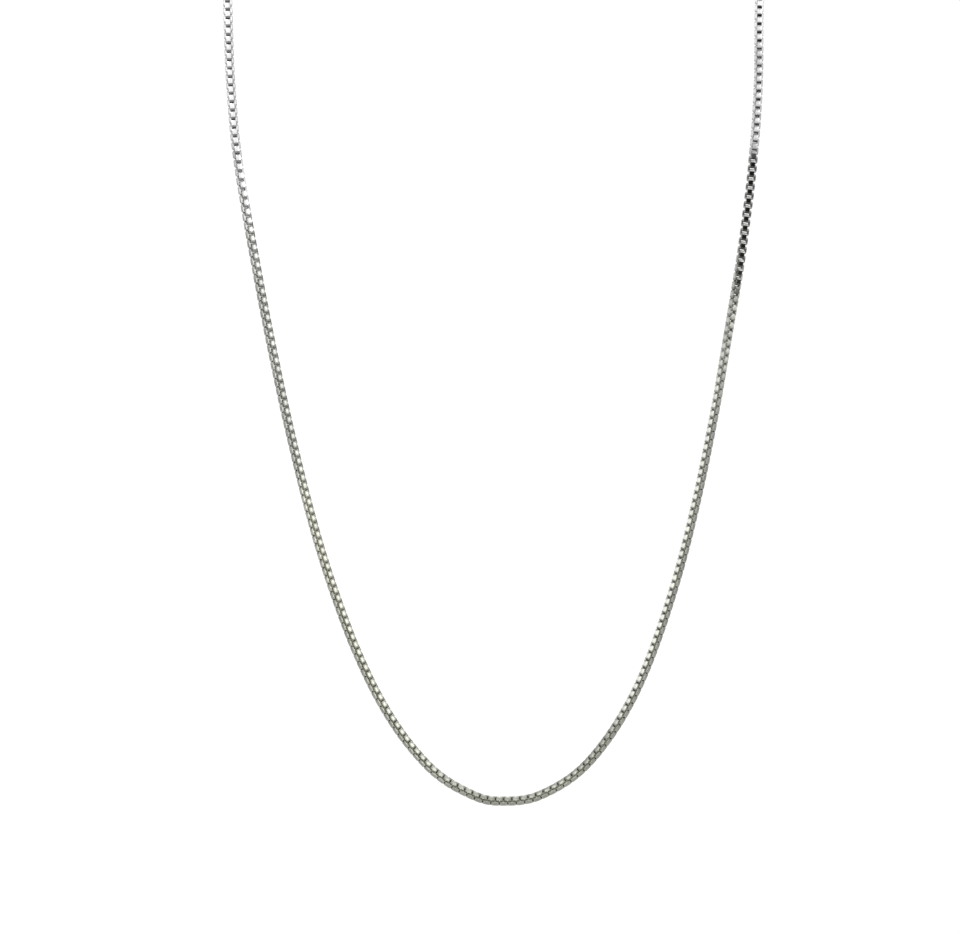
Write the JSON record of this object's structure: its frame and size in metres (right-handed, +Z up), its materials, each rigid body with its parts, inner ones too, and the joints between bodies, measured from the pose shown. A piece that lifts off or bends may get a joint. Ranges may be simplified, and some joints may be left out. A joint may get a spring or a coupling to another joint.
{
  "type": "box chain necklace",
  "caption": "Fine round box-chain necklace: one whole loop of interlocking box links that hangs in a long U and closes at the nape with jump rings and a plain barrel clasp.",
  "frame": {"origin": "on the front of the clasp's barrel at the middle of the nape, where the necklace bears on the back of the neck", "axes": "+Z up, -Y towards the front where the chain hangs, +X to the right as seen from the front"},
  "size_m": [0.1161, 0.0687, 0.198],
  "materials": {
    "chain_silver": "polished silver, worn soft, with dark tarnish between the links",
    "fitting_silver": "polished silver"
  },
  "bodies": {
    "root": {"chain": "chain_silver", "end_link_left": "chain_silver", "end_link_right": "chain_silver", "jump_ring_left": "fitting_silver", "jump_ring_right": "fitting_silver", "clasp": "fitting_silver"}
  },
  "joints": []
}
